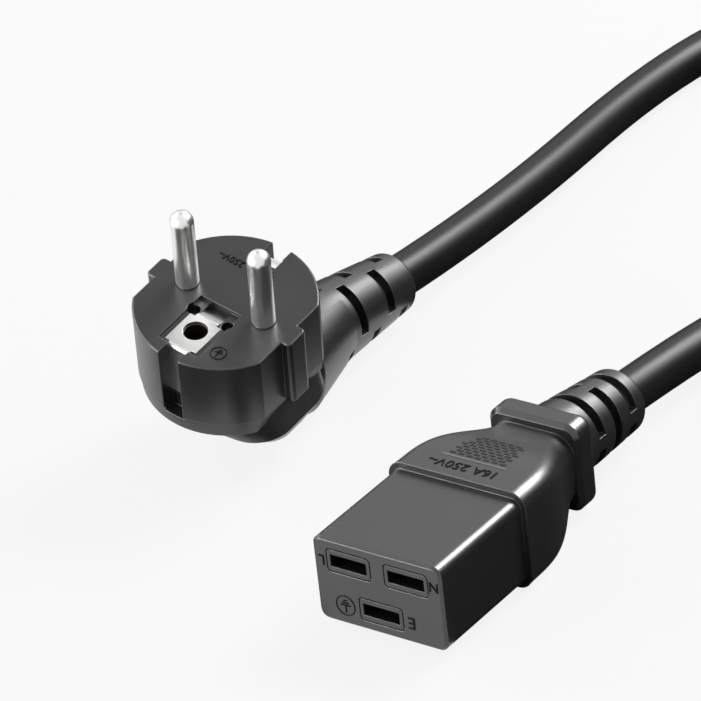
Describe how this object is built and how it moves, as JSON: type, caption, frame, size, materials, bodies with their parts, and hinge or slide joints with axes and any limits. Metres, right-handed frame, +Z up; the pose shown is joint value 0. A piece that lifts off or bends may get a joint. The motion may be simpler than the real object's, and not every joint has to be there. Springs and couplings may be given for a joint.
{
  "type": "c19 power connector",
  "caption": "Moulded C19 cable connector with three flat slots, thumb flange and slotted bend relief, on a coiled mains cord that ends in an angled earthed plug with round pins.",
  "frame": {"origin": "under the middle of the connector's length and width, on the plane that it rests on; the cord, its coil and the plug are left out of this", "axes": "-Y is the way the connector mates, +Y runs back along it to its cord, +X from the line slot to the neutral slot, +Z up"},
  "size_m": [0.1676, 0.3003, 0.0549],
  "materials": {
    "moulding": "fine matt PVC, soft sheen on rounded edges",
    "insert": "smooth dark thermoplastic",
    "cord_jacket": "smooth flexible PVC with a soft streak of light",
    "tie_band": "matt band",
    "nickel": "bright nickel plate, lightly drawn",
    "earth_plate": "bright rolled strip",
    "contact_brass": "bright stamped brass",
    "copper": "bare stranded copper",
    "brown_core": "plain insulation",
    "blue_core": "plain insulation",
    "green_core": "green insulation with a yellow stripe"
  },
  "bodies": {
    "root": {"connector_housing": "moulding", "contact_carrier": "insert", "carrier_rear_cap": "insert", "live_contact": "contact_brass", "neutral_contact": "contact_brass", "earth_contact": "contact_brass", "live_core": "brown_core", "neutral_core": "blue_core", "earth_core": "green_core", "live_strands": "copper", "neutral_strands": "copper", "earth_strands": "copper", "plug_housing": "moulding", "pin_bridge": "insert", "live_pin": "nickel", "neutral_pin": "nickel", "earth_strap": "earth_plate", "earth_socket": "contact_brass", "plug_live_core": "brown_core", "plug_neutral_core": "blue_core", "plug_earth_core": "green_core", "plug_live_strands": "copper", "plug_neutral_strands": "copper", "plug_earth_strands": "copper", "cord_connector_lead": "cord_jacket", "cord_plug_lead": "cord_jacket", "cord_coil": "cord_jacket", "coil_tie": "tie_band"}
  },
  "joints": []
}
